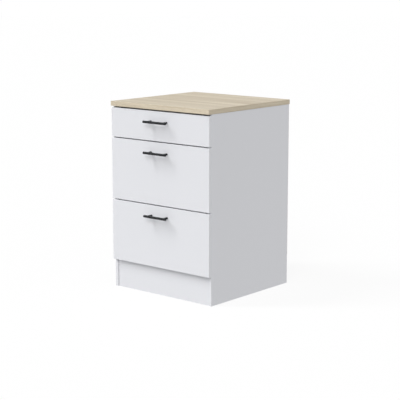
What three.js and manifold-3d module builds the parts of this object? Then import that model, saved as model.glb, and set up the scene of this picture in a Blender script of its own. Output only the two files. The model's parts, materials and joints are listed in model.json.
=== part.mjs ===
// A kitchen base cabinet with three drawers under a square worktop: 600 wide, 895 high and 634 deep,
// of which the worktop takes 600 and the handles the rest. Millimetres, +Z up, +X to the right, +Y
// from the drawer fronts to the wall. The origin is on the floor, in the middle of the whole width
// and depth.
//
// The carcass is two side panels that stand on the floor, a bottom panel, a plinth board, two rails,
// a nailed-on back panel and the worktop. Each drawer is a front, a box of four boards and a thin
// bottom held in grooves. It hangs on a pair of bent steel runners: the carcass runner carries one
// roller at its front end, under the drawer runner's flange, and the drawer runner carries one at
// its rear end, inside the carcass runner's channel.

import * as THREE from 'three';
import { mergeVertices } from 'three/addons/utils/BufferGeometryUtils.js';
import Module from 'manifold-3d';

const wasm = await Module();
wasm.setup();

// ---- Driving dimensions ------------------------------------------------------------------------

const WORKTOP_WIDTH = 600;
const WORKTOP_DEPTH = 600;
const WORKTOP_THICKNESS = 22;
const WORKTOP_HEIGHT = 895; // floor to upper face
const WORKTOP_OVERHANG = 4; // in front of the drawer fronts

const CARCASS_WIDTH = 598;
const SIDE_PANEL_DEPTH = 576;
const BOARD = 15; // laminated chipboard of the carcass, the fronts and the drawer boxes
const HARDBOARD = 3; // back panel and drawer bottoms
const BOTTOM_PANEL_HEIGHT = 140; // floor to underside, which the plinth board fills
const PLINTH_SETBACK = 5; // behind the side panels' front edges
const RAIL_DEPTH = 90;
const FRONT_RAIL_SETBACK = 40; // leaves the dark gap under the worktop open
const BACK_PANEL_INSET = 2; // inside the carcass's outline, on each side and at the top

const FRONT_WIDTH = 597;
const LOWEST_FRONT_BOTTOM = 136; // floor to the lowest front's bottom edge
const FRONT_SPACING = 5; // between one front and the next
const BOX_LENGTH = 500;
const BOX_LIFT = 30; // the box's bottom edge above its front's bottom edge
const GROOVE_LIFT = 12; // the groove above the box's bottom edge
const GROOVE_DEPTH = 8;
const TRAVEL = 370; // how far a drawer slides out before its rollers meet the stops

// From the floor up.
const DRAWERS = [
  { level: 'bottom', frontHeight: 291, boxHeight: 200 },
  { level: 'middle', frontHeight: 291, boxHeight: 200 },
  { level: 'top', frontHeight: 138, boxHeight: 90 },
];

const HANDLE_DROP = 49; // the bar's axis below the front's top edge
const HANDLE_LENGTH = 136;
const HANDLE_BAR_RADIUS = 6;
const HANDLE_POST_RADIUS = 5;
const HANDLE_POST_SPACING = 96;
const HANDLE_REACH = 32; // the bar's axis in front of the front's face
const HANDLE_CHAMFER = 0.8;

const RUNNER_SPACE = 12.5; // between a side panel and a drawer box
const RUNNER_SHEET = 1.2; // steel thickness
const RUNNER_LENGTH = 500;
const RUNNER_SETBACK = 2; // the carcass runner behind the carcass's front edges
const ROLLER_RADIUS = 9.5;
const ROLLER_WIDTH = 6;
const ROLLER_FROM_END = 12; // a roller's axis from its runner's end
const PIN_RADIUS = 2.5;
const PIN_HEAD_RADIUS = 4;
const PIN_HEAD_THICKNESS = 0.8;
const PIN_ROOT = 0.5; // how deep a pin's collar is let into the web

const SCREW_SHANK_RADIUS = 2;
const SCREW_HEAD_RADIUS = 4;
const SCREW_HEAD_THICKNESS = 2.4;
const HANDLE_SCREW_DEPTH = 10; // into a handle post
const WORKTOP_SCREW_DEPTH = 12; // into the worktop
const WORKTOP_SCREW_SPACING = 440; // left to right

const GAP = 0.3; // clearance wherever two pieces touch
const ROUND_SIDES = 24; // of the handles and the rollers
const SMALL_SIDES = 12; // of the screws, the pins and their holes

// ---- Places that follow from them --------------------------------------------------------------
// Until the last group shifts it, Y is counted from the side panels' front edges.

const worktopUnderside = WORKTOP_HEIGHT - WORKTOP_THICKNESS;
const carcassTop = worktopUnderside - GAP;
const frontFace = -GAP - BOARD; // of the drawer fronts
const worktopFront = frontFace - WORKTOP_OVERHANG;
const worktopBack = worktopFront + WORKTOP_DEPTH;
const handleAxis = frontFace - HANDLE_REACH;
const foremost = handleAxis - HANDLE_BAR_RADIUS;
const middleOfDepth = (foremost + worktopBack) / 2;

const halfOpening = CARCASS_WIDTH / 2 - BOARD; // middle to a side panel's inner face
const boxOuter = halfOpening - RUNNER_SPACE; // middle to a drawer side's outer face
const boxInner = boxOuter - BOARD;
const railUnderside = carcassTop - BOARD;
const frontRailMiddle = FRONT_RAIL_SETBACK + RAIL_DEPTH / 2;
const rearRailMiddle = SIDE_PANEL_DEPTH - RAIL_DEPTH / 2;

// ---- Shapes ------------------------------------------------------------------------------------

// The box between its lowest and its highest corner.
function block([x0, y0, z0], [x1, y1, z1]) {
  const geometry = new THREE.BoxGeometry(x1 - x0, y1 - y0, z1 - z0);
  geometry.translate((x0 + x1) / 2, (y0 + y1) / 2, (z0 + z1) / 2);
  return geometry;
}

// A turned piece along +Y, from [radius, place] points in order of place.
function turned(outline, sides) {
  const points = outline.map(([radius, place]) => new THREE.Vector2(radius, place));
  return new THREE.LatheGeometry(points, sides);
}

// A plain round bar along +Y.
function rod(radius, from, to, sides) {
  return turned([[0, from], [radius, from], [radius, to], [0, to]], sides);
}

// A screw whose shank points along +Y, with the underside of its head at 0.
function screw(length) {
  const tip = length - SCREW_SHANK_RADIUS;
  const outline = [
    [0, -SCREW_HEAD_THICKNESS],
    [SCREW_HEAD_RADIUS * 0.7, -SCREW_HEAD_THICKNESS],
    [SCREW_HEAD_RADIUS, -SCREW_HEAD_THICKNESS * 0.4],
    [SCREW_HEAD_RADIUS, 0],
    [SCREW_SHANK_RADIUS, 0],
    [SCREW_SHANK_RADIUS, tip],
    [0, length],
  ];
  return turned(outline, SMALL_SIDES);
}

// The hole for a screw's shank along +Y, which clears it by the gap.
function screwHole(from, to) {
  return rod(SCREW_SHANK_RADIUS + GAP, from, to, SMALL_SIDES);
}

// A strip bent to a section of [distance from the side panel, height] points, from y0 to y1.
function bentStrip(section, side, y0, y1) {
  const points = section.map(([inward, height]) => {
    return new THREE.Vector2(side * (halfOpening - inward), height);
  });
  const settings = { depth: y1 - y0, bevelEnabled: false };
  const strip = new THREE.ExtrudeGeometry(new THREE.Shape(points), settings);
  return strip.rotateX(Math.PI / 2).translate(0, y1, 0);
}

// ---- Joining and cutting -----------------------------------------------------------------------

function solidOf(geometry) {
  const loose = geometry.index ? geometry.toNonIndexed() : geometry;
  const shell = new THREE.BufferGeometry();
  shell.setAttribute('position', loose.getAttribute('position'));
  const merged = mergeVertices(shell, 1e-4);
  const mesh = new wasm.Mesh({
    numProp: 3,
    vertProperties: merged.attributes.position.array,
    triVerts: new Uint32Array(merged.index.array),
  });
  return new wasm.Manifold(mesh);
}

function geometryOf(solid) {
  const { vertProperties, triVerts } = solid.getMesh();
  const shell = new THREE.BufferGeometry();
  shell.setAttribute('position', new THREE.BufferAttribute(vertProperties, 3));
  shell.setIndex(new THREE.BufferAttribute(triVerts, 1));
  const geometry = shell.toNonIndexed();
  geometry.computeVertexNormals();
  return geometry;
}

function join(...geometries) {
  const whole = geometries.map(solidOf).reduce((sum, next) => sum.add(next));
  return geometryOf(whole);
}

function cut(geometry, ...tools) {
  const rest = tools.map(solidOf).reduce((body, tool) => body.subtract(tool), solidOf(geometry));
  return geometryOf(rest);
}

// ---- Finishes ----------------------------------------------------------------------------------

function finish(color, roughness, metalness = 0) {
  return () => new THREE.MeshStandardMaterial({ color, roughness, metalness });
}

const whiteLaminate = finish(0xe6e7eb, 0.45);
const oakLaminate = finish(0xd0c5b3, 0.6);
const whiteHardboard = finish(0xdfe0e2, 0.6);
const brownHardboard = finish(0x9a7a58, 0.8);
const paintedSteel = finish(0xd4d5d6, 0.4, 0.2);
const nylon = finish(0xf1f0ea, 0.5);
const zincSteel = finish(0xb9bcc0, 0.35, 1);
const blackSteel = finish(0x17181a, 0.4, 0.6);

function piece(name, geometry, material) {
  const mesh = new THREE.Mesh(geometry, material());
  mesh.name = name;
  return mesh;
}

// ---- Carcass -----------------------------------------------------------------------------------

const SIDES = [
  { word: 'left', side: -1 },
  { word: 'right', side: 1 },
];

function sidePanel({ word, side }) {
  const panel = block([-BOARD / 2, 0, 0], [BOARD / 2, SIDE_PANEL_DEPTH, carcassTop]);
  const mesh = piece(`side_panel_${word}`, panel, whiteLaminate);
  mesh.position.x = side * (halfOpening + BOARD / 2);
  return mesh;
}

// A board between the two side panels, from y0 to y1 and from z0 to z1.
function crossBoard(y0, y1, z0, z1) {
  const half = halfOpening - GAP;
  return block([-half, y0, z0], [half, y1, z1]);
}

function bottomPanel() {
  const top = BOTTOM_PANEL_HEIGHT + BOARD;
  const panel = crossBoard(0, SIDE_PANEL_DEPTH, BOTTOM_PANEL_HEIGHT, top);
  return piece('bottom_panel', panel, whiteLaminate);
}

function plinthBoard() {
  const back = PLINTH_SETBACK + BOARD;
  const board = crossBoard(PLINTH_SETBACK, back, 0, BOTTOM_PANEL_HEIGHT - GAP);
  return piece('plinth_board', board, whiteLaminate);
}

function backPanel() {
  const half = CARCASS_WIDTH / 2 - BACK_PANEL_INSET;
  const front = SIDE_PANEL_DEPTH + GAP;
  const low = [-half, front, BOTTOM_PANEL_HEIGHT];
  const high = [half, front + HARDBOARD, carcassTop - BACK_PANEL_INSET];
  return piece('back_panel', block(low, high), brownHardboard);
}

// The four screws that hold the worktop, driven up through the rails.
const WORKTOP_SCREWS = [
  { word: 'front_left', x: -WORKTOP_SCREW_SPACING / 2, y: frontRailMiddle },
  { word: 'front_right', x: WORKTOP_SCREW_SPACING / 2, y: frontRailMiddle },
  { word: 'rear_left', x: -WORKTOP_SCREW_SPACING / 2, y: rearRailMiddle },
  { word: 'rear_right', x: WORKTOP_SCREW_SPACING / 2, y: rearRailMiddle },
];

function upwardHole(place, from, to) {
  return screwHole(from, to).rotateX(Math.PI / 2).translate(place.x, place.y, 0);
}

function rail(name, middle) {
  const board = crossBoard(middle - RAIL_DEPTH / 2, middle + RAIL_DEPTH / 2, railUnderside, carcassTop);
  const screws = WORKTOP_SCREWS.filter((place) => place.y === middle);
  const holes = screws.map((place) => upwardHole(place, railUnderside - 1, carcassTop + 1));
  return piece(name, cut(board, ...holes), whiteLaminate);
}

function worktop() {
  const half = WORKTOP_WIDTH / 2;
  const board = block([-half, worktopFront, worktopUnderside], [half, worktopBack, WORKTOP_HEIGHT]);
  const holeTop = worktopUnderside + WORKTOP_SCREW_DEPTH + GAP;
  const holes = WORKTOP_SCREWS.map((place) => upwardHole(place, worktopUnderside - 1, holeTop));
  return piece('worktop', cut(board, ...holes), oakLaminate);
}

function worktopScrew(place) {
  const head = railUnderside - GAP;
  const length = worktopUnderside + WORKTOP_SCREW_DEPTH - head;
  const mesh = piece(`worktop_screw_${place.word}`, screw(length), zincSteel);
  mesh.rotation.x = Math.PI / 2;
  mesh.position.set(place.x, place.y, head);
  return mesh;
}

// ---- Runners and rollers -----------------------------------------------------------------------
// Their heights are counted from the drawer box's bottom edge, and their distances from the side
// panel's inner face towards the middle.

const carcassRollerHeight = 6;
const drawerRollerHeight = 3.5;
const carcassRollerPlace = RUNNER_SETBACK + ROLLER_FROM_END;
const drawerRollerPlace = BOX_LENGTH - ROLLER_FROM_END;
const rollerMiddle = 6.4;

const trackTop = drawerRollerHeight - ROLLER_RADIUS - GAP;
const channelCeiling = drawerRollerHeight + ROLLER_RADIUS + 0.5;
const carcassWebFace = GAP + RUNNER_SHEET;
const drawerWebFar = RUNNER_SPACE - GAP;
const drawerWebNear = drawerWebFar - RUNNER_SHEET;
const flangeUnderside = carcassRollerHeight + ROLLER_RADIUS + GAP;

const TRACK_EDGE = 10.3;
const CEILING_EDGE = 8.3;
const DRAWER_FLANGE_EDGE = 3;
const DRAWER_SHELF_WIDTH = 11.5;
const STOP_HEIGHT = 4.3;
const STOP_THICKNESS = 2;

// The riveted pin of a roller: a collar on the web it stands on, a shaft through the roller and a
// head past it. It is made round the roller's middle and points towards +X or -X.
function rollerPin(pointing, webDistance) {
  const shaftHalf = ROLLER_WIDTH / 2 + GAP;
  const outline = [
    [0, -webDistance],
    [PIN_HEAD_RADIUS, -webDistance],
    [PIN_HEAD_RADIUS, -shaftHalf],
    [PIN_RADIUS, -shaftHalf],
    [PIN_RADIUS, shaftHalf],
    [PIN_HEAD_RADIUS, shaftHalf],
    [PIN_HEAD_RADIUS, shaftHalf + PIN_HEAD_THICKNESS],
    [0, shaftHalf + PIN_HEAD_THICKNESS],
  ];
  return turned(outline, SMALL_SIDES).rotateZ(-pointing * Math.PI / 2);
}

function carcassRunner(side) {
  const section = [
    [GAP, trackTop - RUNNER_SHEET],
    [TRACK_EDGE, trackTop - RUNNER_SHEET],
    [TRACK_EDGE, trackTop],
    [carcassWebFace, trackTop],
    [carcassWebFace, channelCeiling],
    [CEILING_EDGE, channelCeiling],
    [CEILING_EDGE, channelCeiling + RUNNER_SHEET],
    [GAP, channelCeiling + RUNNER_SHEET],
  ];
  const front = RUNNER_SETBACK;
  const channel = bentStrip(section, side, front, front + RUNNER_LENGTH);

  // Its upper flange stops short of the roller.
  const clearEnd = carcassRollerPlace + ROLLER_RADIUS + 4;
  const aboveRoller = [
    [carcassWebFace, channelCeiling - 1],
    [CEILING_EDGE + 1, channelCeiling - 1],
    [CEILING_EDGE + 1, channelCeiling + RUNNER_SHEET + 1],
    [carcassWebFace, channelCeiling + RUNNER_SHEET + 1],
  ];
  const notch = bentStrip(aboveRoller, side, front - 1, clearEnd);

  // A tab bent up from the track stops the drawer's roller.
  const stopHeightOnRoller = ROLLER_RADIUS + GAP - STOP_HEIGHT;
  const rollerHalfWidth = Math.sqrt(ROLLER_RADIUS ** 2 - stopHeightOnRoller ** 2);
  const stopBack = drawerRollerPlace - TRAVEL - rollerHalfWidth - GAP;
  const tab = [
    [carcassWebFace - 0.1, trackTop - 0.1],
    [TRACK_EDGE - 1, trackTop - 0.1],
    [TRACK_EDGE - 1, trackTop + STOP_HEIGHT],
    [carcassWebFace - 0.1, trackTop + STOP_HEIGHT],
  ];
  const stop = bentStrip(tab, side, stopBack - STOP_THICKNESS, stopBack);

  const pin = rollerPin(-side, rollerMiddle - carcassWebFace + PIN_ROOT);
  pin.translate(side * (halfOpening - rollerMiddle), carcassRollerPlace, carcassRollerHeight);
  return join(cut(channel, notch), stop, pin);
}

function drawerRunner(side) {
  const section = [
    [drawerWebNear, -GAP - RUNNER_SHEET],
    [drawerWebNear + DRAWER_SHELF_WIDTH, -GAP - RUNNER_SHEET],
    [drawerWebNear + DRAWER_SHELF_WIDTH, -GAP],
    [drawerWebFar, -GAP],
    [drawerWebFar, flangeUnderside + RUNNER_SHEET],
    [DRAWER_FLANGE_EDGE, flangeUnderside + RUNNER_SHEET],
    [DRAWER_FLANGE_EDGE, flangeUnderside],
    [drawerWebNear, flangeUnderside],
  ];
  const front = 2 * GAP;
  const strip = bentStrip(section, side, front, front + RUNNER_LENGTH - 1);

  const pin = rollerPin(side, drawerWebNear - rollerMiddle + PIN_ROOT);
  pin.translate(side * (halfOpening - rollerMiddle), drawerRollerPlace, drawerRollerHeight);
  return join(strip, pin);
}

// A nylon roller round its own middle, with its axis across the cabinet.
function roller() {
  const bore = PIN_RADIUS + GAP;
  const half = ROLLER_WIDTH / 2;
  const chamfer = 0.6;
  const outline = [
    [bore, -half],
    [ROLLER_RADIUS - chamfer, -half],
    [ROLLER_RADIUS, -half + chamfer],
    [ROLLER_RADIUS, half - chamfer],
    [ROLLER_RADIUS - chamfer, half],
    [bore, half],
    [bore, -half],
  ];
  return turned(outline, ROUND_SIDES).rotateZ(Math.PI / 2);
}

function rollerMesh(name, side, place, height) {
  const mesh = piece(name, roller(), nylon);
  mesh.position.set(side * (halfOpening - rollerMiddle), place, height);
  return mesh;
}

// ---- Drawers -----------------------------------------------------------------------------------
// Heights in a drawer's group are counted from its box's bottom edge.

const HANDLE_SCREWS = [
  { word: 'left', x: -HANDLE_POST_SPACING / 2 },
  { word: 'right', x: HANDLE_POST_SPACING / 2 },
];
const handleScrewLength = BOARD + GAP + HANDLE_SCREW_DEPTH + GAP;

function grooveCutter(x0, x1, y0, y1) {
  return block([x0, y0, GROOVE_LIFT], [x1, y1, GROOVE_LIFT + HARDBOARD + 2 * GAP]);
}

function drawerFront(bottom, top, handleHeight) {
  const half = FRONT_WIDTH / 2;
  const panel = block([-half, frontFace, bottom], [half, -GAP, top]);
  const grooveHalf = boxInner + GROOVE_DEPTH;
  const groove = grooveCutter(-grooveHalf, grooveHalf, -GAP - GROOVE_DEPTH, 1);
  const holes = HANDLE_SCREWS.map(({ x }) => screwHole(frontFace - 1, 1).translate(x, 0, handleHeight));
  return cut(panel, groove, ...holes);
}

function boxSide(side, height) {
  const inner = side * boxInner;
  const outer = side * boxOuter;
  const board = block([Math.min(inner, outer), 0, 0], [Math.max(inner, outer), BOX_LENGTH, height]);
  const grooveFloor = side * (boxInner + GROOVE_DEPTH);
  const open = side * (boxInner - 1);
  const groove = grooveCutter(Math.min(open, grooveFloor), Math.max(open, grooveFloor), -1, BOX_LENGTH + 1);
  return cut(board, groove);
}

function boxBack(height) {
  const half = boxInner - GAP;
  const board = block([-half, BOX_LENGTH - BOARD, 0], [half, BOX_LENGTH, height]);
  const grooveFloor = BOX_LENGTH - BOARD + GROOVE_DEPTH;
  return cut(board, grooveCutter(-half - 1, half + 1, BOX_LENGTH - BOARD - 1, grooveFloor));
}

function boxBottom() {
  const half = boxInner + GROOVE_DEPTH - GAP;
  const front = -GROOVE_DEPTH;
  const back = BOX_LENGTH - BOARD + GROOVE_DEPTH - GAP;
  const low = GROOVE_LIFT + GAP;
  return block([-half, front, low], [half, back, low + HARDBOARD]);
}

// A round bar on two posts, whose feet stand on the drawer front and are tapped for the screws.
function handle() {
  const half = HANDLE_LENGTH / 2;
  const outline = [
    [0, -half],
    [HANDLE_BAR_RADIUS - HANDLE_CHAMFER, -half],
    [HANDLE_BAR_RADIUS, -half + HANDLE_CHAMFER],
    [HANDLE_BAR_RADIUS, half - HANDLE_CHAMFER],
    [HANDLE_BAR_RADIUS - HANDLE_CHAMFER, half],
    [0, half],
  ];
  const bar = turned(outline, ROUND_SIDES).rotateZ(Math.PI / 2).translate(0, handleAxis, 0);
  const foot = frontFace - GAP;
  const posts = HANDLE_SCREWS.map(({ x }) => {
    return rod(HANDLE_POST_RADIUS, handleAxis, foot, ROUND_SIDES).translate(x, 0, 0);
  });
  const threads = HANDLE_SCREWS.map(({ x }) => {
    return screwHole(foot - HANDLE_SCREW_DEPTH - GAP, foot + 1).translate(x, 0, 0);
  });
  return cut(join(bar, ...posts), ...threads);
}

// The head of a handle screw is inside the drawer.
function handleScrew({ word, x }, drawerName, height) {
  const mesh = piece(`${drawerName}_handle_screw_${word}`, screw(handleScrewLength), zincSteel);
  mesh.rotation.x = Math.PI;
  mesh.position.set(x, 0, height);
  return mesh;
}

function drawer({ level, frontHeight, boxHeight }) {
  const name = `${level}_drawer`;
  const top = frontHeight - BOX_LIFT;
  const handleHeight = top - HANDLE_DROP;
  const group = new THREE.Group();

  group.add(piece(`${name}_front`, drawerFront(-BOX_LIFT, top, handleHeight), whiteLaminate));
  group.add(piece(`${name}_back`, boxBack(boxHeight), whiteLaminate));
  group.add(piece(`${name}_bottom`, boxBottom(), whiteHardboard));

  const pull = piece(`${name}_handle`, handle(), blackSteel);
  pull.position.z = handleHeight;
  group.add(pull);
  HANDLE_SCREWS.forEach((place) => group.add(handleScrew(place, name, handleHeight)));

  SIDES.forEach(({ word, side }) => {
    group.add(piece(`${name}_side_${word}`, boxSide(side, boxHeight), whiteLaminate));
    group.add(piece(`${name}_runner_${word}`, drawerRunner(side), paintedSteel));
    group.add(rollerMesh(`${name}_roller_${word}`, side, drawerRollerPlace, drawerRollerHeight));
  });
  return group;
}

// The runners and rollers that stay in the carcass when this drawer slides out.
function drawerSupports({ level }) {
  const group = new THREE.Group();
  SIDES.forEach(({ word, side }) => {
    group.add(piece(`${level}_carcass_runner_${word}`, carcassRunner(side), paintedSteel));
    const name = `${level}_carcass_roller_${word}`;
    group.add(rollerMesh(name, side, carcassRollerPlace, carcassRollerHeight));
  });
  return group;
}

// ---- The whole cabinet -------------------------------------------------------------------------

function carcass() {
  const group = new THREE.Group();
  SIDES.forEach((place) => group.add(sidePanel(place)));
  group.add(bottomPanel(), plinthBoard(), backPanel());
  group.add(rail('front_rail', frontRailMiddle), rail('rear_rail', rearRailMiddle));
  group.add(worktop());
  WORKTOP_SCREWS.forEach((place) => group.add(worktopScrew(place)));
  return group;
}

function drawerStack() {
  const stack = new THREE.Group();
  let frontBottom = LOWEST_FRONT_BOTTOM;
  for (const sizes of DRAWERS) {
    for (const group of [drawer(sizes), drawerSupports(sizes)]) {
      group.position.z = frontBottom + BOX_LIFT;
      stack.add(group);
    }
    frontBottom += sizes.frontHeight + FRONT_SPACING;
  }
  return stack;
}

const cabinet = new THREE.Group();
cabinet.add(carcass(), drawerStack());
cabinet.position.y = -middleOfDepth;

export default cabinet;
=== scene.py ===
"""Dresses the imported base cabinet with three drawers: boards, handles, runners, fittings and stage.

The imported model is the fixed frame. Each piece made here stands for one or more of its nodes, or is a
small fitting on one, and rides on the same body. Lengths are in metres, +Z is up, +X points right and
+Y points from the drawer fronts to the wall.
"""
import json
import math

import bmesh
import bpy
from bpy.props import FloatProperty, FloatVectorProperty, IntProperty, PointerProperty
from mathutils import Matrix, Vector


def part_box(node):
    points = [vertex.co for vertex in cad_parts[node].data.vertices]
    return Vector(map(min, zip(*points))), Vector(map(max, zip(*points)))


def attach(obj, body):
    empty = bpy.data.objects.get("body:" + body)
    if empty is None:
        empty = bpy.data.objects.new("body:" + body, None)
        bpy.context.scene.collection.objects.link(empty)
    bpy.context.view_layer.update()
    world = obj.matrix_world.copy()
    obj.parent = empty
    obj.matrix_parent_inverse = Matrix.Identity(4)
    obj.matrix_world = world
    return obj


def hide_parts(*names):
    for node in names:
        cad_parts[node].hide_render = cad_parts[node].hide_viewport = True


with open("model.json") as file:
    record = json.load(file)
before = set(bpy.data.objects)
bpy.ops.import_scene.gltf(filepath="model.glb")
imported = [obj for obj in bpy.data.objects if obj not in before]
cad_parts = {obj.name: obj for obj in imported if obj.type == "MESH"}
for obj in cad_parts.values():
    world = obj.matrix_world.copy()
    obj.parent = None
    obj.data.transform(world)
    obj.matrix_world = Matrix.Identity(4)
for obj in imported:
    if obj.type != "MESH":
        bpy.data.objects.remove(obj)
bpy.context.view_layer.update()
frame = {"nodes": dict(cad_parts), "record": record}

bl_info = {
    "name": "Base Cabinet with Drawers",
    "version": (1, 0, 0),
    "blender": (4, 5, 0),
    "location": "3D View > Sidebar > Cabinet",
    "description": "Builds the boards, hardware and finishes of a base cabinet with three drawers",
    "category": "Object",
}

# ---- What the frame says -----------------------------------------------------------------------

MM = 0.001
NEAR = 0.01 * MM  # points closer than this are one point

BODY_OF = {node: body for body, nodes in frame["record"]["behaviour"]["bodies"].items() for node in nodes}

LEVELS = ("bottom", "middle", "top")
HANDS = (("left", -1), ("right", 1))

FRONT_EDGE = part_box("side_panel_right")[0].y  # the side panels' front edges
INNER_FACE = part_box("side_panel_right")[0].x  # from the middle to a side panel's inner face
BOX_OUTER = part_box("top_drawer_side_right")[1].x  # from the middle to a drawer box's outer face
BOX_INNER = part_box("top_drawer_side_right")[0].x  # from the middle to the inner face of its side


def box_bottom(level):
    """The height of a drawer box's bottom edge."""
    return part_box(f"{level}_drawer_side_left")[0].z


def box_height(level):
    low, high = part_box(f"{level}_drawer_side_left")
    return high.z - low.z


# ---- Settings ----------------------------------------------------------------------------------


def length(name, description, millimetres):
    return FloatProperty(
        name=name, description=description, default=millimetres * MM, min=0.0, unit="LENGTH", precision=4
    )


def angle(name, description, degrees):
    return FloatProperty(name=name, description=description, default=math.radians(degrees), subtype="ANGLE")


def amount(name, description, default, **limits):
    """A plain number, which is at least 0 unless the limits say otherwise."""
    limits = {"min": 0.0, **limits}
    return FloatProperty(name=name, description=description, default=default, **limits)


def colour(name, description, default):
    return FloatVectorProperty(
        name=name, description=description, default=default, size=3, min=0.0, max=1.0, subtype="COLOR"
    )


def count(name, description, default):
    return IntProperty(name=name, description=description, default=default, min=1)


class BoardSettings(bpy.types.PropertyGroup):
    """Sizes and colours of the laminated boards."""

    band_rounding: length("Edge rounding", "Radius of the long edges of a banded board", 0.9)
    band_steps: count("Edge steps", "Facets across a rounded edge", 4)
    white: colour("Laminate", "Colour of the white laminate", (0.7804, 0.7882, 0.8196))
    band_white: colour("Edge band", "Colour of the white edge band", (0.785, 0.793, 0.823))
    hardboard_white: colour("White hardboard", "Colour of hardboard's coated face", (0.7412, 0.749, 0.7608))
    hardboard_brown: colour("Brown hardboard", "Colour of hardboard's bare face", (0.3294, 0.2, 0.102))


class WorktopSettings(bpy.types.PropertyGroup):
    """Colours of the worktop's oak laminate, and the rounding of its edges."""

    light: colour("Light wood", "Colour of the early wood", (0.678, 0.615, 0.495))
    dark: colour("Dark wood", "Colour of the late wood", (0.32, 0.258, 0.175))
    pore: colour("Pores", "Colour in the pores", (0.262, 0.194, 0.122))
    # Painted light: the oak edge bands are painted this many times as bright as the top, to make up for the
    # lesser light on the upright edges
    band_lift: amount("Band lift", "Brightness of the edge band over that of the top", 1.29, min=0.5, max=2.0)
    edge_rounding: length("Edge rounding", "Radius of the worktop's long edges", 1.0)


class HandleSettings(bpy.types.PropertyGroup):
    """Sizes and finish of the bar handles."""

    bar_sides: count("Bar sides", "Facets round the bar", 64)
    post_sides: count("Post sides", "Facets round a post", 40)
    end_rounding: length("End rounding", "Radius of the bar's end edges", 1.2)
    post_spacing: length("Post spacing", "Between the middles of the two posts", 96.0)
    post_radius: length("Post radius", "Radius of a post", 5.0)
    black: colour("Coating", "Colour of the black coating", (0.007, 0.008, 0.010))
    gloss_roughness: amount("Roughness", "Roughness of the black coating", 0.28, max=1.0)


class RunnerSettings(bpy.types.PropertyGroup):
    """Sizes and colour of the bent steel runners."""

    sheet: length("Sheet", "Thickness of the steel", 1.2)
    bend: length("Bend", "Radius of a bend, at the middle of the sheet", 1.3)
    track_reach: length("Track", "Width of the carcass runner's track", 10.0)
    ceiling_reach: length("Ceiling", "Width of the carcass runner's upper flange", 8.0)
    shelf_reach: length("Shelf", "Width of the shelf that carries the drawer", 11.5)
    flange_reach: length("Flange", "Width of the drawer runner's upper flange", 9.2)
    slot_length: length("Slot length", "Length of a slot in the web", 14.0)
    slot_height: length("Slot height", "Height of a slot in the web", 5.0)
    slot_pitch: length("Slot pitch", "From one slot to the next", 64.0)
    slot_count: count("Slots", "Slots along a runner", 6)
    white: colour("Coating", "Colour of the runner's coating", (0.74, 0.745, 0.74))


class FastenerSettings(bpy.types.PropertyGroup):
    """Sizes of the fittings and nails, and the screws' random turns."""

    cam_radius: length("Fitting radius", "Radius of an eccentric fitting's face", 7.5)
    nail_radius: length("Nail radius", "Radius of a nail's head", 1.9)
    nail_spacing: length("Nail spacing", "Between nails round the back panel", 88.0)
    nail_inset: length("Nail inset", "From the back panel's edge to the nails", 5.5)
    turn_seed: count("Seed", "Seed of the screws' random turns", 7)


class StageSettings(bpy.types.PropertyGroup):
    """Camera, light and floor. A light's heading is its turn from the front to the left."""

    camera_place: FloatVectorProperty(
        name="Camera",
        description="Where the camera stands",
        default=(3.709, -4.376, 1.475),
        subtype="TRANSLATION",
    )
    camera_heading: angle("Heading", "Turn of the camera from +Y to the left", 40.21)
    camera_dip: angle("Dip", "How far the camera looks down", 10.44)
    camera_lens: amount("Lens", "Focal length in millimetres", 109.8, min=1.0)
    main_heading: angle("Main heading", "Turn of the main light from the front to the left", 47.3)
    main_low: angle("Main foot", "Height angle of the main light's lower end", 37.4)
    main_high: angle("Main head", "Height angle of the main light's upper end", 62.5)
    main_width: angle("Main width", "Angle that the main light fills from side to side", 9.3)
    main_steps: count("Main steps", "Lamps stacked up to make the tall main light", 6)
    main_strength: amount("Main light", "Strength of the main light", 1.727)
    second_heading: angle("Second heading", "Turn of the second light from the front to the left", -25.4)
    second_height: angle("Second height", "Height angle of the second light", 34.2)
    second_width: angle("Second width", "Angle that the second light fills", 22.2)
    second_strength: amount("Second light", "Strength of the light to the right of the front", 0.897)
    rim_heading: angle("Rim heading", "Turn of the rim light from the front to the left", 200.0)
    rim_height: angle("Rim height", "Height angle of the rim light", 62.0)
    rim_width: angle("Rim width", "Angle that the rim light fills", 24.0)
    rim_strength: amount("Rim light", "Strength of the light from above and behind", 0.08)
    broad_heading: angle("Broad heading", "Turn of the broad light from the front to the left", -60.0)
    broad_low: angle("Broad foot", "Height angle at which the broad light begins", 17.4)
    broad_full: angle("Broad full", "Height angle from which the broad light is full", 31.7)
    broad_middle: angle("Broad middle", "Angle from its heading that it fills evenly", 54.1)
    broad_edge: angle("Broad edge", "Angle from its heading at which it ends", 97.5)
    broad_strength: amount("Broad light", "Strength of the broad light, high up on the right", 0.801)
    broad_least: amount("Broad least", "Light under the broad light, within the same angle", 0.24)
    sky_strength: amount("Sky", "Light from all around", 0.393)
    floor_strength: amount("Floor light", "Light from the pale floor", 0.531)
    floor_shadow: amount("Floor shadow", "How strongly the floor shows the object's shadow", 0.08, max=1.0)
    floor_size: amount("Floor", "Radius of the floor", 40.0, min=1.0, unit="LENGTH")


class CabinetSettings(bpy.types.PropertyGroup):
    """All the settings of the cabinet."""

    boards: PointerProperty(type=BoardSettings)
    worktop: PointerProperty(type=WorktopSettings)
    handles: PointerProperty(type=HandleSettings)
    runners: PointerProperty(type=RunnerSettings)
    fasteners: PointerProperty(type=FastenerSettings)
    stage: PointerProperty(type=StageSettings)


def settings():
    return bpy.context.scene.cabinet


# ---- Nodes -------------------------------------------------------------------------------------

FLOAT = "NodeSocketFloat"
WHOLE = "NodeSocketInt"
VECTOR = "NodeSocketVector"
COLOUR = "NodeSocketColor"
OBJECT = "NodeSocketObject"


def emptied(owner):
    """The node tree of a material or world, without its nodes."""
    owner.use_nodes = True
    owner.node_tree.nodes.clear()
    return owner.node_tree


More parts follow.
